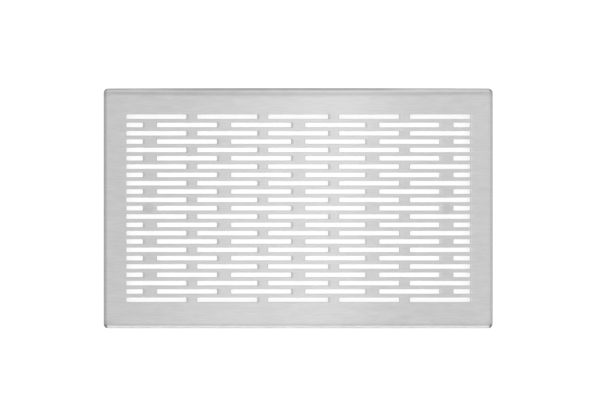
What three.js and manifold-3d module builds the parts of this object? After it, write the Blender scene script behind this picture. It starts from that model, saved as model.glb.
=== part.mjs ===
// Queen excluder: one slotted sheet of stainless steel with its rim pressed down on all four sides,
// and two support studs welded under the deck, which keep it a bee space above the frames.
//
// Millimetres, +Z up. The slots run along X. The origin is at the middle of the plane that the rim
// and the studs stand on.
import * as THREE from 'three';
import { mergeGeometries, mergeVertices } from 'three/addons/utils/BufferGeometryUtils.js';
import Module from 'manifold-3d';

const wasm = await Module();
wasm.setup();

// --- Driving dimensions -------------------------------------------------------------------------

// Slots: a worker bee passes through 4.2 mm, and a queen does not.
const SLOT_WIDTH = 4.2;
const SLOT_LENGTH = 56;
const SLOT_CORNER_RADIUS = 0.7;
const ROW_COUNT = 23;
const ROW_PITCH = 7.75;

// Odd rows hold long slots only. Even rows are shifted half a slot, and a short slot fills each end.
const ODD_ROW_SLOTS = 5;
const ODD_ROW_BRIDGE = 10;
const EVEN_ROW_LONG_SLOTS = 4;
const EVEN_ROW_BRIDGE = 13;

// Plain metal between the slots and the outside of the panel.
const END_MARGIN = 21.5;
const SIDE_MARGIN = 24.75;

// Sheet and pressing: the rim gives one bee space under the deck.
const SHEET_THICKNESS = 1;
const BEE_SPACE = 8;
const BEND_RADIUS = 4;
const PLAN_CORNER_RADIUS = 4.2;

// Support studs, each on the middle of the outermost bridge of the middle row.
const STUD_SHANK_RADIUS = 3;
const STUD_FLANGE_RADIUS = 4.5;
const STUD_FLANGE_THICKNESS = 1;
const STUD_TIP_CHAMFER = 0.6;

// Facets of the round stretches. An outline's corner gets two facets for each of its segments.
const SLOT_CORNER_SEGMENTS = 1;
const PLAN_CORNER_SEGMENTS = 4;
const BEND_SEGMENTS = 6;
const STUD_SEGMENTS = 32;

// --- Derived dimensions -------------------------------------------------------------------------

const FIELD_LENGTH = ODD_ROW_SLOTS * SLOT_LENGTH + (ODD_ROW_SLOTS - 1) * ODD_ROW_BRIDGE;
const FIELD_WIDTH = (ROW_COUNT - 1) * ROW_PITCH + SLOT_WIDTH;
const PANEL_LENGTH = FIELD_LENGTH + 2 * END_MARGIN;
const PANEL_WIDTH = FIELD_WIDTH + 2 * SIDE_MARGIN;
const PANEL_HEIGHT = BEE_SPACE + SHEET_THICKNESS;
const EVEN_ROW_BRIDGES = EVEN_ROW_LONG_SLOTS + 1;
const EVEN_ROW_METAL = EVEN_ROW_BRIDGES * EVEN_ROW_BRIDGE;
const SHORT_SLOT_LENGTH = (FIELD_LENGTH - EVEN_ROW_LONG_SLOTS * SLOT_LENGTH - EVEN_ROW_METAL) / 2;
const STUD_OFFSET = FIELD_LENGTH / 2 - SHORT_SLOT_LENGTH - EVEN_ROW_BRIDGE / 2;

// Cutting tools run this far past the metal that they cut.
const CUT_ALLOWANCE = 10;

// --- Geometry helpers ---------------------------------------------------------------------------

/** A rectangle centred on the origin, with round corners. */
function roundedRectangle(length, width, radius) {
  const x = length / 2;
  const y = width / 2;
  const shape = new THREE.Shape();
  shape.moveTo(x, radius - y);
  shape.lineTo(x, y - radius);
  shape.absarc(x - radius, y - radius, radius, 0, Math.PI / 2);
  shape.lineTo(radius - x, y);
  shape.absarc(radius - x, y - radius, radius, Math.PI / 2, Math.PI);
  shape.lineTo(-x, radius - y);
  shape.absarc(radius - x, radius - y, radius, Math.PI, 1.5 * Math.PI);
  shape.lineTo(x - radius, -y);
  shape.absarc(x - radius, radius - y, radius, 1.5 * Math.PI, 2 * Math.PI);
  return shape;
}

/** The solid of a closed geometry. */
function toSolid(geometry) {
  const bare = geometry.clone();
  bare.deleteAttribute('normal');
  bare.deleteAttribute('uv');
  const merged = mergeVertices(bare, 1e-5);
  const vertProperties = new Float32Array(merged.attributes.position.array);
  const triVerts = new Uint32Array(merged.index.array);
  return new wasm.Manifold(new wasm.Mesh({ numProp: 3, vertProperties, triVerts }));
}

/** The geometry of a solid. */
function toGeometry(solid) {
  const mesh = solid.getMesh();
  const geometry = new THREE.BufferGeometry();
  geometry.setAttribute('position', new THREE.BufferAttribute(mesh.vertProperties, 3));
  geometry.setIndex(new THREE.BufferAttribute(mesh.triVerts, 1));
  geometry.computeVertexNormals();
  return geometry;
}

/** A block with round corners in plan whose top edge is rounded over, and which runs down past z = 0. */
function pressedBlock(inset) {
  const bend = BEND_RADIUS - inset;
  const outline = roundedRectangle(
    PANEL_LENGTH - 2 * inset,
    PANEL_WIDTH - 2 * inset,
    PLAN_CORNER_RADIUS - inset,
  );
  const geometry = new THREE.ExtrudeGeometry(outline, {
    depth: CUT_ALLOWANCE + PANEL_HEIGHT - inset - bend,
    curveSegments: PLAN_CORNER_SEGMENTS,
    bevelThickness: bend,
    bevelSize: bend,
    bevelOffset: -bend,
    bevelSegments: BEND_SEGMENTS,
  });
  geometry.translate(0, 0, -CUT_ALLOWANCE);
  return toSolid(geometry);
}

/** Everything above the plane that the panel stands on. */
function spaceAboveBase() {
  const height = PANEL_HEIGHT + CUT_ALLOWANCE;
  const geometry = new THREE.BoxGeometry(2 * PANEL_LENGTH, 2 * PANEL_WIDTH, height);
  geometry.translate(0, 0, height / 2);
  return toSolid(geometry);
}

/** The punch for one slot, centred at (x, y). */
function slotPunch(length, x, y) {
  const outline = roundedRectangle(length, SLOT_WIDTH, SLOT_CORNER_RADIUS);
  const geometry = new THREE.ExtrudeGeometry(outline, {
    depth: SHEET_THICKNESS + 2,
    bevelEnabled: false,
    curveSegments: SLOT_CORNER_SEGMENTS,
  });
  geometry.translate(x, y, BEE_SPACE - 1);
  return geometry;
}

/** The slot lengths of one row, from left to right, and the bridge between them. */
function rowLayout(rowNumber) {
  if (rowNumber % 2 === 1) {
    return { lengths: Array(ODD_ROW_SLOTS).fill(SLOT_LENGTH), bridge: ODD_ROW_BRIDGE };
  }
  const longSlots = Array(EVEN_ROW_LONG_SLOTS).fill(SLOT_LENGTH);
  return { lengths: [SHORT_SLOT_LENGTH, ...longSlots, SHORT_SLOT_LENGTH], bridge: EVEN_ROW_BRIDGE };
}

/** The punches for every slot of the panel, as one solid. */
function allSlotPunches() {
  const punches = [];
  for (let rowNumber = 1; rowNumber <= ROW_COUNT; rowNumber += 1) {
    const y = ((ROW_COUNT + 1) / 2 - rowNumber) * ROW_PITCH;
    const { lengths, bridge } = rowLayout(rowNumber);
    let left = -FIELD_LENGTH / 2;
    for (const length of lengths) {
      punches.push(slotPunch(length, left + length / 2, y));
      left += length + bridge;
    }
  }
  return toSolid(mergeGeometries(punches));
}

// --- Sub-parts ----------------------------------------------------------------------------------

const brushedSteel = new THREE.MeshStandardMaterial({
  color: 0xcfd1d2,
  roughness: 0.38,
  metalness: 1,
});

const turnedSteel = new THREE.MeshStandardMaterial({
  color: 0xc3c5c6,
  roughness: 0.3,
  metalness: 1,
});

/** The deck and its turned-down rim: one sheet of even thickness, with its slots punched out. */
function slottedPanel() {
  const shell = pressedBlock(0).subtract(pressedBlock(SHEET_THICKNESS)).intersect(spaceAboveBase());
  const panel = new THREE.Mesh(toGeometry(shell.subtract(allSlotPunches())), brushedSteel);
  panel.name = 'slotted_panel';
  return panel;
}

/** A stud whose flange is welded to the underside of the deck and whose tip is level with the rim. */
function supportStud(name, x) {
  const profile = [
    new THREE.Vector2(0, 0),
    new THREE.Vector2(STUD_SHANK_RADIUS - STUD_TIP_CHAMFER, 0),
    new THREE.Vector2(STUD_SHANK_RADIUS, STUD_TIP_CHAMFER),
    new THREE.Vector2(STUD_SHANK_RADIUS, BEE_SPACE - STUD_FLANGE_THICKNESS),
    new THREE.Vector2(STUD_FLANGE_RADIUS, BEE_SPACE - STUD_FLANGE_THICKNESS),
    new THREE.Vector2(STUD_FLANGE_RADIUS, BEE_SPACE),
    new THREE.Vector2(0, BEE_SPACE),
  ];
  const geometry = new THREE.LatheGeometry(profile, STUD_SEGMENTS);
  geometry.rotateX(Math.PI / 2);
  const stud = new THREE.Mesh(geometry, turnedSteel);
  stud.name = name;
  stud.position.set(x, 0, 0);
  return stud;
}

const queenExcluder = new THREE.Group();
queenExcluder.name = 'queen_excluder';
queenExcluder.add(slottedPanel());
queenExcluder.add(supportStud('left_support_stud', -STUD_OFFSET));
queenExcluder.add(supportStud('right_support_stud', STUD_OFFSET));

export default queenExcluder;
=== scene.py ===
"""Looks of the queen excluder: a slotted sheet of brushed stainless steel with a turned-down rim,
seen from straight above on a white table, and the two support studs welded under it.

Everything is in metres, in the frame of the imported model: +Z up, the slots along X, and the table at
z = 0.
"""
import math

import bpy
import numpy as np
from mathutils import Matrix, Vector
from mathutils.geometry import delaunay_2d_cdt


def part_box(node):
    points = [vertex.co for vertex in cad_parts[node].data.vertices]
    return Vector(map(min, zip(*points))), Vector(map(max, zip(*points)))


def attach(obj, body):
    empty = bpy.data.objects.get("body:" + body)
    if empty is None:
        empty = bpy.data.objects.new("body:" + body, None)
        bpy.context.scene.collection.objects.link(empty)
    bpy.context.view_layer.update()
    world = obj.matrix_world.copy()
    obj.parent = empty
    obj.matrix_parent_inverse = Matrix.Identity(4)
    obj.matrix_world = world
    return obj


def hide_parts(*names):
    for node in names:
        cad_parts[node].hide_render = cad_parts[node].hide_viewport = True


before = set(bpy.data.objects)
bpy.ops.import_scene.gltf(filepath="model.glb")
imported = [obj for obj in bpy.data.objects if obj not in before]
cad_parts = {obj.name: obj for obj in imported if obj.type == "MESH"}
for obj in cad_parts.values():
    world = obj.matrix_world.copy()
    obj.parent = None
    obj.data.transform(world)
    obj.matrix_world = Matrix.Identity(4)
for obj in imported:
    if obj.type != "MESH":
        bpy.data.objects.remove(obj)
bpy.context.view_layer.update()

MM = 0.001

# --- Sizes from the frame ---------------------------------------------------------------------------

PANEL_LOW, PANEL_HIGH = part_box("slotted_panel")
DECK_TOP = PANEL_HIGH.z
HALF_LENGTH = (PANEL_HIGH.x - PANEL_LOW.x) / 2
HALF_WIDTH = (PANEL_HIGH.y - PANEL_LOW.y) / 2
STUD_NODES = ("left_support_stud", "right_support_stud")


def stud_centre(node):
    """Where a support stud stands, in plan."""
    low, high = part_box(node)
    return (low.x + high.x) / 2, (low.y + high.y) / 2


STUD_CENTRES = [stud_centre(node) for node in STUD_NODES]
DECK_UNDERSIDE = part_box(STUD_NODES[0])[1].z
SHEET = DECK_TOP - DECK_UNDERSIDE

# --- Slot layout, as the sheet is punched -------------------------------------------------------------

SLOT_WIDTH = 4.2 * MM
SLOT_LENGTH = 56 * MM
SLOT_CORNER = 0.7 * MM
ROW_COUNT = 23
ROW_PITCH = 7.75 * MM
ODD_ROW_SLOTS = 5
ODD_ROW_BRIDGE = 10 * MM
EVEN_ROW_LONG_SLOTS = 4
EVEN_ROW_BRIDGE = 13 * MM
FIELD_LENGTH = ODD_ROW_SLOTS * SLOT_LENGTH + (ODD_ROW_SLOTS - 1) * ODD_ROW_BRIDGE
EVEN_ROW_METAL = (EVEN_ROW_LONG_SLOTS + 1) * EVEN_ROW_BRIDGE
SHORT_SLOT = (FIELD_LENGTH - EVEN_ROW_LONG_SLOTS * SLOT_LENGTH - EVEN_ROW_METAL) / 2

# --- Pressing and punching ----------------------------------------------------------------------------

BEND = 4 * MM                   # outer radius of the turned-down edge
PLAN_CORNER = 4.2 * MM          # radius of the panel's corners, seen from above
ROLL_OVER_WIDTH = 0.42 * MM     # the punch drags the top edge of each slot down this far from the slot
ROLL_OVER_DEPTH = 0.28 * MM
BURR_WIDTH = 0.42 * MM
BURR_DEPTH = 0.16 * MM
RIM_EDGE = 0.22 * MM            # deburred lower edge of the rim
WELD_DOME_HEIGHT = 0.13 * MM    # the sheet bulges over each stud's weld, and is level in the middle
WELD_DOME_LEVEL = 3.2 * MM
WELD_DOME_RADIUS = 6.8 * MM
BACK_EDGE_BOW = 0.36 * MM       # how much further in the back edge lies at its ends than halfway
EDGE_SAG = 0.22 * MM            # the deck starts to fall away before the bend
EDGE_SAG_REACH = 6 * MM

# The deck also dips towards a slot's left end and, more, towards its right end: how far beyond the
# roll-over it starts to fall, and by how much it falls, both in mm.
END_DIP_REACH = (0.1, 2.1)
END_DIP_DEPTH = (0.02, 0.2)

# Slow unevenness of the sheet: two waves, each by its length per radian along X and along Y.
WAVE_HEIGHT = 0.025 * MM
BROAD_WAVE = (41 * MM, 33 * MM)
SLANTED_WAVE = (19 * MM, 27 * MM)
SLANTED_WAVE_SHARE = 0.6        # of the broad wave's height

# The most that the waves and a weld's bulge can add up to. The deck is lowered by it.
RELIEF_CEILING = WELD_DOME_HEIGHT + (1 + SLANTED_WAVE_SHARE) * WAVE_HEIGHT

# Fold line of the press tool along each long edge: how far it lies inside the bend, and its width on
# the bend's side. At the back it bows inwards and widens halfway along, and fades towards the deck.
FRONT_CREASE = -0.15 * MM
FRONT_CREASE_STRENGTH = 0.7
BACK_CREASE = 0.60 * MM
BACK_CREASE_BOW = 0.70 * MM
CREASE_WIDTH = 0.95 * MM
BACK_CREASE_GROWTH = 0.45 * MM
BACK_CREASE_FADE = 2.0
CREASE_DEPTH = 0.05 * MM

# How strongly each corner is darkened with painted shade, which stands in for the dark reflections in
# its bend, and how dull the drawn metal is there, by the signs of the corner's x and y.
CORNER_DULLNESS_AND_SHADE = {(1, 1): 0.6, (-1, 1): 0.05, (-1, -1): 1.0, (1, -1): 1.0}
CORNER_DULLNESS_AND_SHADE_SPREAD = 0.5    # lower is wider
CORNER_DULLNESS_AND_SHADE_FADE = 0.7      # the share of it that is gone at the rim's lower edge

# Support studs, in mm from the middle of the tip.
SHANK_RADIUS = 3.0
TIP_RINGS = (0.0, 0.6, 1.2, 1.8)        # radii of the tip's face loops
SHANK_RINGS = (1.5, 3.0, 4.5, 6.0)      # heights of the shank's
TIP_CHAMFER = 0.6
FILLET = 0.5                    # under the flange
FLANGE_RADIUS = 4.5
FLANGE_LOW = 7.0
FLANGE_RING = 3.9               # radius, halfway out on the flange's lower face
FLANGE_ROUNDING = 0.15
STUD_TOP = 8.0
TOP_RING = 2.6                  # radius, halfway out on the top
WELD_BEAD = (0.85, 0.75)        # width and height, on the flange's outer edge
WELD_STARTS = (3.8, 4.6)        # radius over which the flange passes into the bead
WELD_RISES = (7.2, 7.45)        # height over which it does
WELD_RIPPLES = 21
WELD_RIPPLE_HEIGHT = 0.07

# --- Looks --------------------------------------------------------------------------------------------

# Noise cells along X and Y. The third number sets the underside's pattern apart from the top's.
GRAIN_CELL = (9 * MM, 0.14 * MM, 1.0)
STREAK_CELL = (13 * MM, 1.3 * MM, 0.4)
LONG_STREAK_CELL = (90 * MM, 0.8 * MM, 0.2)
MOTTLE_CELL = (18 * MM, 6 * MM, 0.3)

# Tones are the metal's reflectance. Each pattern's number is how much it adds between its extremes.
SHEET_TONE = 0.655
STREAK_TONE = 0.14
GRAIN_TONE = 0.10
LONG_STREAK_TONE = 0.05
MOTTLE_TONE = 0.14

# These multiply the tone.
# Painted shade: the fold lines darken this far, standing in for the shade in their creases.
FOLD_SHADE_TONE = 0.80
PUNCHED_TONE = 0.85
PUNCHED_ROUND_SHARE = 0.4       # of a punched wall's dullness, on its rounded edges
# Painted shade: the drawn corners darken this far, standing in for the dark reflections there.
DRAWN_SHADE_TONE = 0.5
UNDERSIDE_TONE = 0.88
WELD_MARK_TONE = 0.93
WELD_MARK_EDGE = (3.8 * MM, 5.0 * MM)   # on the deck, fading out between these radii
HEAT_TINT = (0.44, 0.40, 0.34, 1)
HEAT_TINT_EDGE = (4.5 * MM, 10 * MM)    # on the underside, fading out between these radii

# The patterns vary the roughness by these numbers, and the last two are added to it.
SHEET_ROUGHNESS = 0.32
STREAK_ROUGHNESS = 0.10
GRAIN_ROUGHNESS = 0.10
MOTTLE_ROUGHNESS = 0.08
UNDERSIDE_ROUGHNESS = 0.06
DRAWN_ROUGHNESS = 0.10

# The studs: turning marks, pits and the weld's tints.
RING_SPACING = 0.09 * MM
PIT_SIZE = 0.5 * MM
STUD_TONE = 0.62
RING_TONE = 0.22
PIT_TONE = 0.08
STUD_ROUGHNESS = 0.27
RING_ROUGHNESS = 0.14
WELD_ROUGHNESS = 0.18           # added
WELD_STRAW = (0.46, 0.40, 0.31, 1)
WELD_BLUE = (0.27, 0.29, 0.33, 1)

# Levels are how bright a surface looks, and 1 is white.
OVERHEAD_Y = 0.3
OVERHEAD_LENGTH = 2.4           # along Y
OVERHEADS = (                   # name, x and height, width along X, level, and spin in degrees
    ("overhead_left", -0.526, 1.95, 0.126, 0.22, -12),
    ("overhead_wide", -0.124, 1.90, 0.372, 0.16, -12),
    ("overhead_middle", -0.041, 1.85, 0.203, 0.33, -12),
    ("overhead_strip", 0.125, 1.80, 0.06, 0.98, -7),
    ("overhead_right", 0.36, 1.75, 0.24, 0.34, 22),
)
DECK_MIDDLE = (0, 0, DECK_TOP)
SIDE_LIGHTS = (                 # name, place, what it faces, width and height, and level
    ("front", (0, -1.4, 0.265), DECK_MIDDLE, (1.5, 0.52), 2.3),
    ("back_right", (0.26, 0.42, 0.16), (0.18, 0.12, 0), (0.28, 0.12), 1.15),
    ("back_left", (-0.28, 0.42, 0.16), (-0.20, 0.12, 0), (0.24, 0.12), 0.7),
    ("right", (1.5, -0.1, 0.2), DECK_MIDDLE, (1.2, 0.35), 1.1),
    ("right_high", (1.2, 0, 1.0), DECK_MIDDLE, (1.6, 0.7), 0.35),
    ("left", (-1.5, -0.1, 0.2), DECK_MIDDLE, (1.2, 0.35), 0.8),
)

# The studio's walls, by a direction's Z, which is 1 straight up, and by how diagonal it is in plan,
# which is 0.5 towards a corner.
WALL_LEVEL = 0.45
CEILING_LEVEL = 0.83
CEILING_STARTS = (0.05, 0.8)    # Z over which the walls pass into the ceiling
WALL_CORNER_SHADE = 0.4
WALL_CORNER_STARTS = (0.36, 0.5)    # diagonal over which a wall passes into a corner's shade
WALL_CORNER_ENDS = (0.45, 0.8)  # Z over which the corners' shade fades out
BACKDROP_LEVEL = 1.0

FLOOR_TONE = 0.57
FLOOR_ROUGHNESS = 0.9
FLOOR_GLOW = 0.68               # towards the camera
GLOW_UNDER_PANEL = 0.73         # towards the camera
LIGHT_UNDER_PANEL = 0.30        # what the table under the panel throws back up at the metal
FLOOR_REACH = 6.0

CAMERA_HEIGHT = 1.1             # above the deck
CAMERA_ASIDE = (1.72 * MM, 7.68 * MM)   # to the right of the panel's middle and behind it
VIEW_WIDTH = 558.1 * MM         # of the deck's plane, across the picture
SENSOR_WIDTH = 36               # mm

# Fineness of the meshes.
GRID_STEP = 6 * MM
GRID_CLEARANCE = 0.1 * MM       # between free points and the slots' outermost rings
OUTLINE_TOLERANCE = 1e-5        # mm: outlines closer than this count as touching
SLOPE_STEP = 0.02 * MM
BEND_STEPS = 12
CORNER_STEPS = 12
SLOT_CORNER_STEPS = 4
ROUNDING_STEPS = 4
SLOT_RING_SHARES = (0.8, 0.6, 0.4, 0.25, 0.13, 0.05)   # of the fall's reach, from a slot's wall
DOME_RING_STEP = 0.6            # mm, between rings of points over a weld
DOME_RING_POINTS = 24
STUD_FACETS = 96
MARGIN_LINES = (0.6, 1.2, 1.8, 2.6, 3.6, 5.0, 7.0, 10.0, 14.0)   # mm inside the bend


# --- Outlines -----------------------------------------------------------------------------------------

def straight(start, end, step):
    """Points from start up to but not including end, about one step apart."""
    count = max(1, round(math.dist(start, end) / step))
    share = np.arange(count)[:, None] / count
    return np.array(start) + share * (np.array(end) - np.array(start))


def rounded_outline(half_x, half_y, radius, corner_steps, step):
    """A rounded rectangle round the origin, counterclockwise: its points and their outward normals."""
    points = []
    normals = []
    centres = [(half_x - radius, half_y - radius), (radius - half_x, half_y - radius),
               (radius - half_x, radius - half_y), (half_x - radius, radius - half_y)]
    for quarter, centre in enumerate(centres):
        angles = math.pi / 2 * (quarter + np.arange(corner_steps + 1) / corner_steps)
        arc_normals = np.stack([np.cos(angles), np.sin(angles)], axis=1)
        arc = np.array(centre) + radius * arc_normals
        following = np.array(centres[(quarter + 1) % 4]) + radius * arc_normals[-1]
        side = straight(arc[-1], following, step)[1:]
        points += [arc, side]
        normals += [arc_normals, np.tile(arc_normals[-1], (len(side), 1))]
    return np.concatenate(points), np.concatenate(normals)


def slot_rectangles():
    """Every slot as (centre x, centre y, length)."""
    slots = []
    for row in range(1, ROW_COUNT + 1):
        y = ((ROW_COUNT + 1) / 2 - row) * ROW_PITCH
        if row % 2 == 1:
            lengths, bridge = [SLOT_LENGTH] * ODD_ROW_SLOTS, ODD_ROW_BRIDGE
        else:
            lengths = [SHORT_SLOT] + [SLOT_LENGTH] * EVEN_ROW_LONG_SLOTS + [SHORT_SLOT]
            bridge = EVEN_ROW_BRIDGE
        left = -FIELD_LENGTH / 2
        for length in lengths:
            slots.append((left + length / 2, y, length))
            left += length + bridge
    return slots


SLOTS = slot_rectangles()


def at_ends(normals, left_and_right):
    """A value for each point of a slot's edge: 0 on its long sides, and these two at its ends."""
    left, right = left_and_right
    return np.where(normals[:, :1] > 0, right, left) * normals[:, :1] ** 2


def slot_edge_reach(normals):
    """How far outside a slot the deck starts to fall towards it."""
    return ROLL_OVER_WIDTH + at_ends(normals, END_DIP_REACH) * MM


def distance_to_slots(points):
    """The distance from each point to the nearest slot's edge, negative inside a slot."""
    nearest = np.full(len(points), np.inf)
    for x, y, length in SLOTS:
        half = np.array([length / 2 - SLOT_CORNER, SLOT_WIDTH / 2 - SLOT_CORNER])
        beyond = np.abs(points - np.array([x, y])) - half
        outside = np.linalg.norm(np.maximum(beyond, 0), axis=1)
        inside = np.minimum(beyond.max(axis=1), 0)
        nearest = np.minimum(nearest, outside + inside - SLOT_CORNER)
    return nearest


# --- Relief of the deck -------------------------------------------------------------------------------

def smoothstep(low, high, value):
    """Rises smoothly from 0 at low to 1 at high."""
    share = np.clip((value - low) / (high - low), 0, 1)
    return share * share * (3 - 2 * share)


def fold_line(points):
    """How much of the press tool's fold line is at each point, from 0 to 1."""
    back = points[:, 1] > 0
    bow = np.where(back, np.cos(points[:, 0] / HALF_LENGTH * math.pi / 2), 0)
    offset = np.where(back, BACK_CREASE + BACK_CREASE_BOW * bow, FRONT_CREASE)
    beyond = HALF_WIDTH - BEND - np.abs(points[:, 1]) - offset
    fade = np.where(back & (beyond > 0), BACK_CREASE_FADE, 1)
    strength = np.where(back, 1, FRONT_CREASE_STRENGTH)
    return strength * np.exp(-(beyond / (fade * (CREASE_WIDTH + BACK_CREASE_GROWTH * bow))) ** 2)


def distance_to_stud(points):
    """The distance in plan from each point to the middle of the nearest stud."""
    return np.min([np.hypot(points[:, 0] - x, points[:, 1] - y) for x, y in STUD_CENTRES], axis=0)


def deck_relief(points):
    """Height of the deck above a true plane: slow waves, weld bulges, fold lines and the edges' sag."""
    x, y = points[:, 0], points[:, 1]
    height = WAVE_HEIGHT * (
        np.sin(x / BROAD_WAVE[0] + 1.3) * np.cos(y / BROAD_WAVE[1] + 0.4)
        + SLANTED_WAVE_SHARE * np.sin(x / SLANTED_WAVE[0] - y / SLANTED_WAVE[1])
    )
    rise = 1 - smoothstep(WELD_DOME_LEVEL, WELD_DOME_RADIUS, distance_to_stud(points))
    height += WELD_DOME_HEIGHT * rise
    inside_bend = HALF_WIDTH - BEND - np.abs(y)
    height -= CREASE_DEPTH * fold_line(points)
    fall = np.clip(1 - inside_bend / EDGE_SAG_REACH, 0, 1)
    height -= EDGE_SAG * fall ** 2
    return height - RELIEF_CEILING


def relief_slope(points):
    """The slope of the relief along X and along Y."""
    slopes = []
    for axis in range(2):
        shift = np.zeros(2)
        shift[axis] = SLOPE_STEP
        rise = deck_relief(points + shift) - deck_relief(points - shift)
        slopes.append(rise / (2 * SLOPE_STEP))
    return np.stack(slopes, axis=1)


# --- The sheet's surface ------------------------------------------------------------------------------

class SheetSurface:
    """Vertices and faces of the panel. Each vertex keeps its exact normal, its place on the flat blank
    that the sheet was pressed from, the direction across the brushing, and shares from 0 to 1 that say
    how far it is on the underside, on a punched wall, and drawn round a corner, where the metal is
    rougher and darkened with painted shade."""

    KEYS = ("co", "normal", "blank", "across", "under", "punched", "drawn")

    def __init__(self):
        self.columns = {key: [] for key in self.KEYS}
        self.count = 0
        self.faces = []

    def add(self, co, normal, blank, across, under=0.0, punched=0.0, drawn=0.0):
        """Adds vertices and returns their indices."""
        amount = len(co)
        shares = [np.full(amount, share) for share in (under, punched)]
        values = (co, normal, blank, across, *shares, np.zeros(amount) + drawn)
        for key, column in zip(self.KEYS, values):
            self.columns[key].append(np.asarray(column, float))
        first = self.count
        self.count += amount
        return np.arange(first, self.count)

    def band(self, ring, following):
        """Joins two closed rings with quads, the first ring on top and both running to the right."""
        a, b = ring, following
        quads = np.stack([a, b, np.roll(b, -1), np.roll(a, -1)], axis=1)
        self.faces += quads.tolist()

    def triangles(self, corners):
        self.faces += np.asarray(corners).tolist()

    def column(self, key):
        return np.concatenate(self.columns[key])


def deck_vertices(surface, points, z, facing, under):
    """Puts plan points on the deck's top (facing 1) or underside (facing -1)."""
    slope = relief_slope(points)
    height = z + deck_relief(points)
    ones = np.ones(len(points))
    normal = facing * np.stack([-slope[:, 0], -slope[:, 1], ones], axis=1)
    across = np.stack([0 * ones, ones, slope[:, 1]], axis=1)
    return surface.add(
        np.column_stack([points, height]),
        normal / np.linalg.norm(normal, axis=1, keepdims=True),
        np.column_stack([points, under * ones]),
        across / np.linalg.norm(across, axis=1, keepdims=True),
        under=under,
    )


def deck_grid(limit_x, limit_y):
    """Free points on the deck, clear of the slots and of the bend."""
    field_half = (ROW_COUNT - 1) / 2 * ROW_PITCH
    lines = list(np.arange(-field_half, field_half + ROW_PITCH / 4, ROW_PITCH / 2))
    for inset in MARGIN_LINES:
        lines += [limit_y - inset * MM, inset * MM - limit_y]
    steps = round(2 * limit_x / GRID_STEP)
    xs = np.linspace(-limit_x, limit_x, steps + 1)[1:-1]
    grid = np.array([(x, y) for y in lines for x in xs])
    rings = [
        (cx + r * math.cos(a), cy + r * math.sin(a))
        for cx, cy in STUD_CENTRES
        for r in np.arange(DOME_RING_STEP, WELD_DOME_RADIUS / MM, DOME_RING_STEP) * MM
        for a in np.arange(DOME_RING_POINTS) / DOME_RING_POINTS * 2 * math.pi
    ]
    clear = grid[distance_to_stud(grid) > WELD_DOME_RADIUS]
    points = np.concatenate([clear, np.array(rings), np.array(STUD_CENTRES)])
    widest = ROLL_OVER_WIDTH + max(END_DIP_REACH) * MM
    return points[distance_to_slots(points) > widest + GRID_CLEARANCE]


def metal_triangles(points, outline_ids, loops):
    """Triangles between the points that fill the outline and leave every slot's loop open."""
    flat = [Vector(point) for point in points / MM]
    areas = [ids.tolist() for ids in (outline_ids, *loops)]
    placed, _, triangles, sources, _, within = delaunay_2d_cdt(flat, [], areas, 0, OUTLINE_TOLERANCE)
    if len(placed) != len(points):
        raise RuntimeError("the deck's outlines touch each other")
    original = np.array([ids[0] for ids in sources])
    metal = [triangle for triangle, inside in zip(triangles, within) if inside == [0]]
    return original[np.array(metal)]


def add_deck(surface):
    """Adds both faces of the deck, with a hole for every slot. Returns their vertices, the outline and
    the slots' loops, which the slot walls and the rim carry on from."""
    limit_x, limit_y = HALF_LENGTH - BEND, HALF_WIDTH - BEND
    outline, outline_normals = rounded_outline(
        limit_x, limit_y, PLAN_CORNER - BEND, CORNER_STEPS, GRID_STEP)
    slot_loops = []
    for x, y, length in SLOTS:
        loop, normals = rounded_outline(
            length / 2, SLOT_WIDTH / 2, SLOT_CORNER, SLOT_CORNER_STEPS, GRID_STEP)
        slot_loops.append((loop + np.array([x, y]), normals))

    pieces = [outline]
    loops = []
    first = len(outline)
    for loop, normals in slot_loops:
        loops.append(np.arange(first, first + len(loop)))
        pieces.append(loop + slot_edge_reach(normals) * normals)
        first += len(loop)
    pieces.append(deck_grid(limit_x, limit_y))
    points = np.concatenate(pieces)

    outline_ids = np.arange(len(outline))
    corners = metal_triangles(points, outline_ids, loops)
    top = deck_vertices(surface, points, DECK_TOP, 1, 0.0)
    underside = deck_vertices(surface, points, DECK_UNDERSIDE, -1, 1.0)
    surface.triangles(top[corners])
    surface.triangles(underside[corners[:, ::-1]])
    return {
        "top": top, "underside": underside, "outline_ids": outline_ids, "outline": outline,
        "outline_normals": outline_normals, "loops": loops, "slot_loops": slot_loops,
    }


def slot_wall_profile(normals):
    """The rings down a slot's wall: offset into the metal, height, and the normal's parts towards the
    slot and up. The first and last rings belong to the deck's faces, and are left out. Going down, the
    dip and the roll-over come first, then the wall's upper edge, then the burr."""
    reach = slot_edge_reach(normals)
    dip = at_ends(normals, END_DIP_DEPTH) * MM
    same = np.ones_like(reach)
    rings = []
    for share in SLOT_RING_SHARES:
        offset = reach * share
        rolled = np.clip(1 - offset / ROLL_OVER_WIDTH, 0, 1)
        level = np.sqrt(1 - rolled ** 2)
        drop = ROLL_OVER_DEPTH * (1 - level) + dip * (1 - smoothstep(0, 1, share))
        roll_slope = ROLL_OVER_DEPTH / ROLL_OVER_WIDTH * rolled / level
        dip_slope = dip / reach * 6 * share * (1 - share)
        rings.append((offset, DECK_TOP - drop, roll_slope + dip_slope, same))
    rings.append((0 * same, DECK_TOP - ROLL_OVER_DEPTH - dip, same, 0 * same))
    for step in range(ROUNDING_STEPS):
        angle = math.pi / 2 * (1 - step / ROUNDING_STEPS)
        offset = BURR_WIDTH * (1 - math.sin(angle))
        height = DECK_UNDERSIDE + BURR_DEPTH * (1 - math.cos(angle))
        rings.append((offset * same, height * same,
                      math.sin(angle) / BURR_WIDTH * same, -math.cos(angle) / BURR_DEPTH * same))
    return rings


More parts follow.
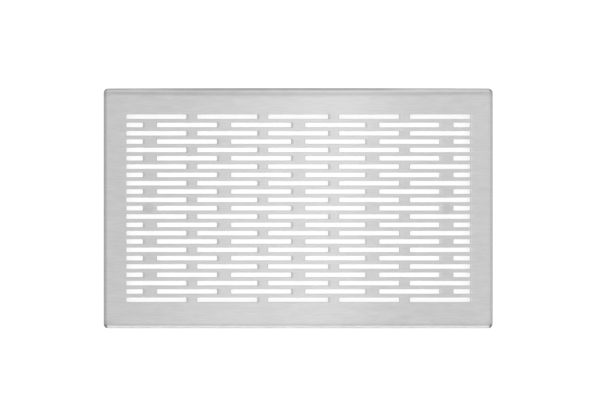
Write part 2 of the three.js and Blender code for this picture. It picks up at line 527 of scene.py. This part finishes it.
def add_slot_walls(surface, deck):
    """Adds the punched wall of every slot, rounded over at the top and slightly at the bottom."""
    for ids, (loop, normals) in zip(deck["loops"], deck["slot_loops"]):
        relief = deck_relief(loop)[:, None]
        above = deck["top"][ids]
        for offset, z, into_slot, up in slot_wall_profile(normals):
            plan = loop + offset * normals
            normal = np.column_stack([-into_slot * normals, up])
            across = np.column_stack([np.zeros(len(loop)), normals[:, 0], np.zeros(len(loop))])
            across += np.array([0, 0, 1e-3])   # so that it is upright, not zero, on the long sides
            ring = surface.add(
                np.column_stack([plan, z + relief]),
                normal / np.linalg.norm(normal, axis=1, keepdims=True),
                np.column_stack([plan, z]),
                across / np.linalg.norm(across, axis=1, keepdims=True),
                punched=1.0 if offset.max() < 1e-9 else PUNCHED_ROUND_SHARE,
            )
            surface.band(ring, above)
            above = ring
        surface.band(deck["underside"][ids], above)


def rim_profile():
    """The rings round the rim, down the outside, round the lower edge and up the inside: offset from
    the bend line, height, the normal's outward and upward parts, the distance along the sheet, and 1
    where the ring is on the inside."""
    rings = []
    bend_length = BEND * math.pi / 2
    for step in range(1, BEND_STEPS + 1):
        angle = math.pi / 2 * step / BEND_STEPS
        rings.append((BEND * math.sin(angle), DECK_TOP - BEND * (1 - math.cos(angle)),
                      math.sin(angle), math.cos(angle), BEND * angle, 0.0))
    straight_length = DECK_TOP - BEND - RIM_EDGE
    rings.append((BEND, RIM_EDGE + straight_length / 2, 1, 0, bend_length + straight_length / 2, 0.0))
    for step in range(ROUNDING_STEPS + 1):
        angle = math.pi / 2 * step / ROUNDING_STEPS
        rings.append((BEND - RIM_EDGE * (1 - math.cos(angle)), RIM_EDGE * (1 - math.sin(angle)),
                      math.cos(angle), -math.sin(angle), bend_length + straight_length, 0.0))
    inner = BEND - SHEET
    for step in range(ROUNDING_STEPS + 1):
        angle = math.pi / 2 * step / ROUNDING_STEPS
        rings.append((inner + RIM_EDGE * (1 - math.sin(angle)), RIM_EDGE * (1 - math.cos(angle)),
                      -math.sin(angle), -math.cos(angle), bend_length + straight_length, 1.0))
    for step in range(BEND_STEPS):
        angle = math.pi / 2 * (1 - step / BEND_STEPS)
        rings.append((inner * math.sin(angle), DECK_TOP - BEND + inner * math.cos(angle),
                      -math.sin(angle), -math.cos(angle), BEND * angle, 1.0))
    return rings


def add_rim(surface, deck):
    """Adds the turned-down rim all round, inside and out."""
    outline, normals = deck["outline"], deck["outline_normals"]
    amount = len(outline)
    relief = deck_relief(outline)
    tangents = np.column_stack([-normals[:, 1], normals[:, 0]])
    # Painted shade and dullness at the corners. The shade stands in for the dark reflections in the
    # bend.
    dullness_and_shade = np.array([CORNER_DULLNESS_AND_SHADE[tuple(signs)] for signs in np.where(outline > 0, 1, -1)])
    diagonal = dullness_and_shade * np.abs(2 * normals[:, 0] * normals[:, 1]) ** CORNER_DULLNESS_AND_SHADE_SPREAD
    bow = BACK_EDGE_BOW * (outline[:, :1] / HALF_LENGTH) ** 2
    inwards = (outline[:, 1:] > 0) * bow * normals[:, 1:]
    ring_above = deck["top"][deck["outline_ids"]]
    for offset, z, outward, up, developed, inside in rim_profile():
        normal = np.column_stack([outward * normals, np.full(amount, up)])
        down_the_sheet = np.column_stack([abs(up) * normals, np.full(amount, -abs(outward))])
        along_the_edge = np.column_stack([tangents, np.zeros(amount)])
        across = normals[:, 1:] * down_the_sheet + tangents[:, 1:] * along_the_edge
        fade = max(0.0, (z - DECK_TOP + BEND) / BEND)
        place = outline + offset * normals
        place[:, 1] -= (inwards * offset / BEND)[:, 0]
        # The drawn share darkens the corners with painted shade and makes them rougher: most where the
        # bend faces out, fading down the rim.
        ring = surface.add(
            np.column_stack([place, z + fade * relief]),
            normal,
            np.column_stack([outline + developed * normals, np.full(amount, inside)]),
            across / np.linalg.norm(across, axis=1, keepdims=True),
            under=inside,
            drawn=diagonal * max(outward, 0.0) ** CORNER_DULLNESS_AND_SHADE_SPREAD
            * (1 - CORNER_DULLNESS_AND_SHADE_FADE * smoothstep(DECK_TOP - BEND, 0, z)),
        )
        surface.band(ring_above, ring)
        ring_above = ring
    surface.band(ring_above, deck["underside"][deck["outline_ids"]])


def add_object(name, points, faces, normals, vectors, shares):
    """A smooth mesh in the scene, with an exact normal at each vertex, and the named vectors and
    numbers that its material reads there."""
    mesh = bpy.data.meshes.new(name)
    mesh.from_pydata(points.tolist(), [], faces)
    for key, vector in vectors.items():
        layer = mesh.attributes.new(key, "FLOAT_VECTOR", "POINT")
        layer.data.foreach_set("vector", vector.astype(np.float32).ravel())
    for key, share in shares.items():
        layer = mesh.attributes.new(key, "FLOAT", "POINT")
        layer.data.foreach_set("value", share.astype(np.float32))
    mesh.polygons.foreach_set("use_smooth", [True] * len(mesh.polygons))
    mesh.normals_split_custom_set_from_vertices(normals.tolist())
    mesh.validate()
    made = bpy.data.objects.new(name, mesh)
    bpy.context.scene.collection.objects.link(made)
    return made


def panel_object():
    """The slotted panel as one closed mesh."""
    surface = SheetSurface()
    deck = add_deck(surface)
    add_slot_walls(surface, deck)
    add_rim(surface, deck)
    place = surface.column("blank")[:, :2]
    to_stud = distance_to_stud(place)
    vectors = {key: surface.column(key) for key in ("blank", "across")}
    shares = {key: surface.column(key) for key in ("under", "punched", "drawn")}
    # This share marks where painted shade darkens the fold lines.
    shares["fold_shade"] = fold_line(place)
    shares["tint"] = shares["under"] * (1 - smoothstep(*HEAT_TINT_EDGE, to_stud))
    shares["mark"] = (1 - shares["under"]) * (1 - smoothstep(*WELD_MARK_EDGE, to_stud))
    points, normals = surface.column("co"), surface.column("normal")
    return add_object("brushed_panel", points, surface.faces, normals, vectors, shares)


# --- Support studs ------------------------------------------------------------------------------------

def arc(centre, radii, start, end, steps):
    """Points (radius, height) on an arc, given in mm, from one angle to another, in degrees."""
    angles = np.radians(np.linspace(start, end, steps + 1))
    return [(centre[0] + radii[0] * math.cos(a), centre[1] + radii[1] * math.sin(a)) for a in angles]


def round_arc(centre, radius, start, end, steps):
    """Points on an arc that is as wide as it is high."""
    return arc(centre, (radius, radius), start, end, steps)


def stud_profile():
    """A stud's outline in mm from the middle of its tip up to the deck, as (radius, height) points."""
    chamfer = (SHANK_RADIUS - TIP_CHAMFER, TIP_CHAMFER)
    fillet = (SHANK_RADIUS + FILLET, FLANGE_LOW - FILLET)
    flange = (FLANGE_RADIUS - FLANGE_ROUNDING, FLANGE_LOW + FLANGE_ROUNDING)
    return (
        [(r, 0.0) for r in TIP_RINGS]
        + round_arc(chamfer, TIP_CHAMFER, -90, 0, 8)
        + [(SHANK_RADIUS, z) for z in SHANK_RINGS]
        + round_arc(fillet, FILLET, 180, 90, 6)
        + [(FLANGE_RING, FLANGE_LOW)]
        + round_arc(flange, FLANGE_ROUNDING, -90, 0, 4)
        + arc((FLANGE_RADIUS, STUD_TOP), WELD_BEAD, -90, 0, 8)[1:]
        + [(TOP_RING, STUD_TOP), (0.0, STUD_TOP)]
    )


def weld_ripple(angles, seed):
    """How far a weld bead bulges at each angle round it, where 1 is an ordinary ripple."""
    waves = ((3, 0.5), (WELD_RIPPLES, 1.0), (2 * WELD_RIPPLES + 5, 0.35))
    return sum(share * np.sin(count * angles + seed * count) for count, share in waves)


def lathe_faces(ring_count):
    """Faces of a mesh of revolution: quads between its rings, and a fan at the tip and at the top."""
    faces = []
    for ring in range(ring_count - 1):
        for i in range(STUD_FACETS):
            following = (i + 1) % STUD_FACETS
            low, high = ring * STUD_FACETS, (ring + 1) * STUD_FACETS
            faces.append((low + i, low + following, high + following, high + i))
    tip, top = ring_count * STUD_FACETS, ring_count * STUD_FACETS + 1
    last = (ring_count - 1) * STUD_FACETS
    faces += [(tip, (i + 1) % STUD_FACETS, i) for i in range(STUD_FACETS)]
    faces += [(top, last + i, last + (i + 1) % STUD_FACETS) for i in range(STUD_FACETS)]
    return faces


def lathe_directions(grid, poles):
    """The outward normal and the direction along the profile, at every ring point of a mesh of
    revolution."""
    padded = np.concatenate([np.tile(poles[0], (1, STUD_FACETS, 1)), grid,
                             np.tile(poles[1], (1, STUD_FACETS, 1))])
    around = np.roll(grid, -1, axis=1) - np.roll(grid, 1, axis=1)
    along = padded[2:] - padded[:-2]
    normals = np.cross(around, along)
    normals /= np.linalg.norm(normals, axis=-1, keepdims=True)
    along /= np.linalg.norm(along, axis=-1, keepdims=True)
    return normals.reshape(-1, 3), along.reshape(-1, 3)


def stud_object(name, centre, seed):
    """A turned stud with its weld bead, as one closed mesh of revolution: its rings' points, then the
    middle of its tip and the middle of its top."""
    profile = np.array(stud_profile())
    lengths = np.concatenate([[0], np.cumsum(np.linalg.norm(np.diff(profile, axis=0), axis=1))])
    beads = smoothstep(*WELD_RISES, profile[:, 1]) * smoothstep(*WELD_STARTS, profile[:, 0])
    angles = np.arange(STUD_FACETS) / STUD_FACETS * 2 * math.pi
    rings = profile[1:-1]
    radius = rings[:, :1] + WELD_RIPPLE_HEIGHT * beads[1:-1, None] * weld_ripple(angles, seed)[None, :]
    height = np.broadcast_to(rings[:, 1:], radius.shape)
    grid = np.stack([radius * np.cos(angles), radius * np.sin(angles), height], axis=-1)

    poles = np.array([[0, 0, profile[0, 1]], [0, 0, profile[-1, 1]]])
    normals, along = lathe_directions(grid, poles)
    points = np.concatenate([grid.reshape(-1, 3), poles]) * MM + np.array([*centre, 0])
    vectors = {"across": np.concatenate([along, [[1, 0, 0], [1, 0, 0]]])}
    turned = np.repeat(lengths[1:-1], STUD_FACETS)
    welded = np.repeat(beads[1:-1], STUD_FACETS)
    shares = {"turning": np.concatenate([turned, [0, lengths[-1]]]) * MM,
              "weld": np.concatenate([welded, [0, 1]])}
    normals = np.concatenate([normals, [[0, 0, -1], [0, 0, 1]]])
    return add_object(name, points, lathe_faces(len(rings)), normals, vectors, shares)


# --- Materials ----------------------------------------------------------------------------------------

class Graph:
    """A node tree and short calls to add nodes. An input is a number, a vector or a node's output."""

    def __init__(self, tree):
        self.tree = tree

    def set(self, socket, value):
        if isinstance(value, bpy.types.NodeSocket):
            self.tree.links.new(value, socket)
        else:
            socket.default_value = value

    def node(self, kind, inputs, **settings):
        """Adds a node and returns it. inputs maps a socket's name or number to its value."""
        made = self.tree.nodes.new("ShaderNode" + kind)
        for key, value in settings.items():
            setattr(made, key, value)
        for key, value in inputs.items():
            self.set(made.inputs[key], value)
        return made

    def attribute(self, name, output="Fac"):
        return self.node("Attribute", {}, attribute_name=name).outputs[output]

    def math(self, operation, a, b=0.0, c=0.0):
        return self.node("Math", {0: a, 1: b, 2: c}, operation=operation).outputs[0]

    def vary(self, tone, pattern, amount):
        """Adds a pattern that is 0.5 on average to a tone, this strongly."""
        return self.math("MULTIPLY_ADD", self.math("SUBTRACT", pattern, 0.5), amount, tone)

    def noise(self, place, cell, detail):
        """Noise whose cells have this size in metres along X, Y and Z."""
        scale = tuple(1 / size for size in cell)
        scaled = self.node("VectorMath", {0: place, 1: scale}, operation="MULTIPLY").outputs[0]
        return self.node("TexNoise", {"Vector": scaled, "Scale": 1.0, "Detail": detail}).outputs["Fac"]

    def remap(self, value, low, high, to_low, to_high):
        """Passes smoothly from to_low, where the value is low, to to_high, where it is high."""
        inputs = {
            "Value": value, "From Min": low, "From Max": high, "To Min": to_low, "To Max": to_high,
        }
        return self.node("MapRange", inputs, interpolation_type="SMOOTHSTEP").outputs["Result"]

    def mix(self, share, a, b):
        """Number a where share is 0 and number b where it is 1."""
        return self.node("Mix", {0: share, 2: a, 3: b}).outputs[0]

    def blend(self, share, a, b):
        """Colour a where share is 0 and colour b where it is 1."""
        mix = self.node("Mix", {}, data_type="RGBA")
        for socket, value in ((mix.inputs[0], share), (mix.inputs[6], a), (mix.inputs[7], b)):
            self.set(socket, value)
        return mix.outputs[2]

    def grey(self, tone):
        return self.node("CombineColor", {"Red": tone, "Green": tone, "Blue": tone}).outputs[0]


def new_material(name, metallic):
    """A material, the graph of its nodes and its shader's inputs."""
    material = bpy.data.materials.new(name)
    material.use_nodes = True
    graph = Graph(material.node_tree)
    inputs = material.node_tree.nodes["Principled BSDF"].inputs
    inputs["Metallic"].default_value = metallic
    return material, graph, inputs


def brushed_steel():
    """Stainless sheet brushed along X, with a duller underside and punched walls. Its drawn corners are
    rougher, and darkened with painted shade that stands in for the dark reflections there.
    """
    material, g, inputs = new_material("brushed_sheet", 1.0)
    place = g.attribute("blank", "Vector")
    grain = g.noise(place, GRAIN_CELL, detail=3.0)
    streaks = g.noise(place, STREAK_CELL, detail=3.0)
    long_streaks = g.noise(place, LONG_STREAK_CELL, detail=2.0)
    mottle = g.noise(place, MOTTLE_CELL, detail=3.0)
    under = g.attribute("under")
    punched = g.attribute("punched")
    drawn = g.attribute("drawn")

    tone = g.vary(SHEET_TONE, streaks, STREAK_TONE)
    tone = g.vary(tone, grain, GRAIN_TONE)
    tone = g.vary(tone, long_streaks, LONG_STREAK_TONE)
    tone = g.vary(tone, mottle, MOTTLE_TONE)
    # Painted shade: the fold share darkens the fold lines and the drawn share the corners, standing in
    # for the shade and dark reflections there. The punched, underside and weld-mark shares are the
    # metal's own tone.
    for share, darkest in ((g.attribute("fold_shade"), FOLD_SHADE_TONE), (punched, PUNCHED_TONE),
                           (drawn, DRAWN_SHADE_TONE), (under, UNDERSIDE_TONE),
                           (g.attribute("mark"), WELD_MARK_TONE)):
        tone = g.math("MULTIPLY", tone, g.remap(share, 0.0, 1.0, 1.0, darkest))
    tint = g.math("MULTIPLY", g.attribute("tint"), g.remap(mottle, 0.3, 0.7, 0.5, 1.0))
    colour = g.blend(tint, g.grey(tone), HEAT_TINT)

    roughness = g.vary(SHEET_ROUGHNESS, streaks, STREAK_ROUGHNESS)
    roughness = g.vary(roughness, grain, GRAIN_ROUGHNESS)
    roughness = g.vary(roughness, mottle, MOTTLE_ROUGHNESS)
    roughness = g.math("MULTIPLY_ADD", under, UNDERSIDE_ROUGHNESS, roughness)
    roughness = g.math("MULTIPLY_ADD", drawn, DRAWN_ROUGHNESS, roughness)
    relief = g.math("MULTIPLY_ADD", streaks, 0.4, grain)
    bump = g.node("Bump", {"Height": relief, "Strength": 0.25, "Distance": 0.02 * MM})
    g.set(inputs["Base Color"], colour)
    g.set(inputs["Roughness"], roughness)
    g.set(inputs["Anisotropic"], 1.0)
    g.set(inputs["Tangent"], g.attribute("across", "Vector"))
    g.set(inputs["Normal"], bump.outputs["Normal"])
    return material


def turned_steel():
    """Stainless bar turned on a lathe, with fine rings, and a dull oxidised weld bead."""
    material, g, inputs = new_material("stud_steel", 1.0)
    turning = g.attribute("turning")
    weld = g.attribute("weld")
    place = g.node("TexCoord", {}).outputs["Object"]
    rings = g.node(
        "TexNoise", {"W": g.math("MULTIPLY", turning, 1 / RING_SPACING), "Scale": 1.0, "Detail": 3.0},
        noise_dimensions="1D",
    ).outputs["Fac"]
    pits = g.noise(place, (PIT_SIZE, PIT_SIZE, PIT_SIZE), detail=4.0)
    tone = g.vary(STUD_TONE, rings, RING_TONE)
    tone = g.vary(tone, pits, PIT_TONE)
    scorch = g.blend(g.remap(pits, 0.35, 0.65, 0.0, 1.0), WELD_STRAW, WELD_BLUE)
    roughness = g.vary(STUD_ROUGHNESS, rings, RING_ROUGHNESS)
    g.set(inputs["Base Color"], g.blend(weld, g.grey(tone), scorch))
    g.set(inputs["Roughness"], g.math("MULTIPLY_ADD", weld, WELD_ROUGHNESS, roughness))
    relief = g.math("ADD", g.math("MULTIPLY", rings, g.math("SUBTRACT", 1.0, weld)),
                    g.math("MULTIPLY", pits, weld))
    bump = g.node("Bump", {"Height": relief, "Strength": 0.5, "Distance": 0.03 * MM})
    g.set(inputs["Anisotropic"], 0.7)
    g.set(inputs["Tangent"], g.attribute("across", "Vector"))
    g.set(inputs["Normal"], bump.outputs["Normal"])
    return material


def white_table():
    """White table top. It glows towards the camera, as a lit table does, and more so under the panel,
    so that the slots read as white. Only there does it light the metal as well."""
    material, g, inputs = new_material("white_table", 0.0)
    g.set(inputs["Base Color"], (FLOOR_TONE, FLOOR_TONE, FLOOR_TONE, 1))
    g.set(inputs["Roughness"], FLOOR_ROUGHNESS)
    g.set(inputs["Emission Color"], (1, 1, 1, 1))
    x, y, _ = g.node("SeparateXYZ", {0: g.node("TexCoord", {}).outputs["Object"]}).outputs
    within_x = g.math("LESS_THAN", g.math("ABSOLUTE", x), HALF_LENGTH)
    within_y = g.math("LESS_THAN", g.math("ABSOLUTE", y), HALF_WIDTH)
    seen = g.node("LightPath", {}).outputs["Is Camera Ray"]
    outside = g.math("MULTIPLY", seen, FLOOR_GLOW)
    under = g.mix(seen, LIGHT_UNDER_PANEL, GLOW_UNDER_PANEL)
    g.set(inputs["Emission Strength"], g.mix(g.math("MULTIPLY", within_x, within_y), outside, under))
    material.cycles.emission_sampling = "NONE"
    return material


# --- Stage, lights and camera -------------------------------------------------------------------------

def add_floor():
    """The table top, far wider than any view of the panel."""
    mesh = bpy.data.meshes.new("floor")
    corners = [(x * FLOOR_REACH, y * FLOOR_REACH, 0) for x, y in ((-1, -1), (1, -1), (1, 1), (-1, 1))]
    mesh.from_pydata(corners, [], [(0, 1, 2, 3)])
    floor = bpy.data.objects.new("floor", mesh)
    bpy.context.scene.collection.objects.link(floor)
    mesh.materials.append(white_table())


def softbox(name, place, target, size, radiance, spin=0.0):
    """A rectangular light at place that faces target, with its width horizontal. size is (width,
    height), or (along X, along Y) for one overhead. radiance is how bright its face looks, and spin
    turns it in its own plane, in degrees."""
    light = bpy.data.lights.new(name, "AREA")
    light.shape = "RECTANGLE"
    light.size, light.size_y = size
    light.energy = radiance * math.pi * size[0] * size[1]
    backwards = (Vector(place) - Vector(target)).normalized()
    straight_up = abs(backwards.z) > 0.99
    sideways = Vector((1, 0, 0)) if straight_up else Vector((0, 0, 1)).cross(backwards).normalized()
    upwards = backwards.cross(sideways).normalized()
    sideways = upwards.cross(backwards)
    facing = Matrix((sideways, upwards, backwards)).transposed().to_4x4()
    lamp = bpy.data.objects.new(name, light)
    lamp.matrix_world = Matrix.Translation(place) @ facing @ Matrix.Rotation(math.radians(spin), 4, "Z")
    lamp.visible_camera = False
    bpy.context.scene.collection.objects.link(lamp)


def add_lights():
    """Soft lights overhead, which make the broad highlight across the deck, and low ones all round,
    which light the rim."""
    for name, x, height, width, level, spin in OVERHEADS:
        place, below = (x, OVERHEAD_Y, height), (x, OVERHEAD_Y, 0)
        softbox(name, place, below, (width, OVERHEAD_LENGTH), level, spin)
    for name, place, target, size, level in SIDE_LIGHTS:
        softbox(name, place, target, size, level)


def add_studio_walls():
    """A studio all round that reflections see as pale walls with darker corners under a brighter
    ceiling, and the camera as one pale backdrop."""
    world = bpy.data.worlds.new("studio")
    world.use_nodes = True
    g = Graph(world.node_tree)
    direction = g.node("TexCoord", {}).outputs["Generated"]
    x, y, z = g.node("SeparateXYZ", {0: direction}).outputs
    level = g.remap(z, *CEILING_STARTS, WALL_LEVEL, CEILING_LEVEL)
    flat = g.math("ADD", g.math("MULTIPLY", x, x), g.math("MULTIPLY", y, y))
    diagonal = g.math("ABSOLUTE", g.math("DIVIDE", g.math("MULTIPLY", x, y), flat))
    corner = g.remap(diagonal, *WALL_CORNER_STARTS, 0.0, 1.0)
    low = g.remap(z, *WALL_CORNER_ENDS, 1.0, 0.0)
    shade = g.math("MULTIPLY", g.math("MULTIPLY", corner, low), WALL_CORNER_SHADE)
    level = g.math("MULTIPLY", level, g.math("SUBTRACT", 1.0, shade))
    seen = g.node("LightPath", {}).outputs["Is Camera Ray"]
    level = g.mix(seen, level, BACKDROP_LEVEL)
    background = world.node_tree.nodes["Background"].inputs
    g.set(background["Strength"], level)
    g.set(background["Color"], (1, 1, 1, 1))
    bpy.context.scene.world = world


def add_camera():
    """A camera straight above, with its top towards +Y."""
    camera = bpy.data.cameras.new("camera")
    camera.sensor_width = SENSOR_WIDTH
    camera.lens = SENSOR_WIDTH * CAMERA_HEIGHT / VIEW_WIDTH
    viewer = bpy.data.objects.new("camera", camera)
    viewer.location = (CAMERA_ASIDE[0], CAMERA_ASIDE[1], DECK_TOP + CAMERA_HEIGHT)
    bpy.context.scene.collection.objects.link(viewer)
    bpy.context.scene.camera = viewer


# --- The scene ----------------------------------------------------------------------------------------

add_camera()
add_floor()
add_lights()
add_studio_walls()
bpy.context.scene.view_settings.view_transform = "Standard"

panel = panel_object()
panel.data.materials.append(brushed_steel())
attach(panel, "root")
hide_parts("slotted_panel")

stud_finish = turned_steel()
for number, (node, centre) in enumerate(zip(STUD_NODES, STUD_CENTRES)):
    stud = stud_object("turned_" + node, centre, number + 1)
    stud.data.materials.append(stud_finish)
    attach(stud, "root")
    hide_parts(node)
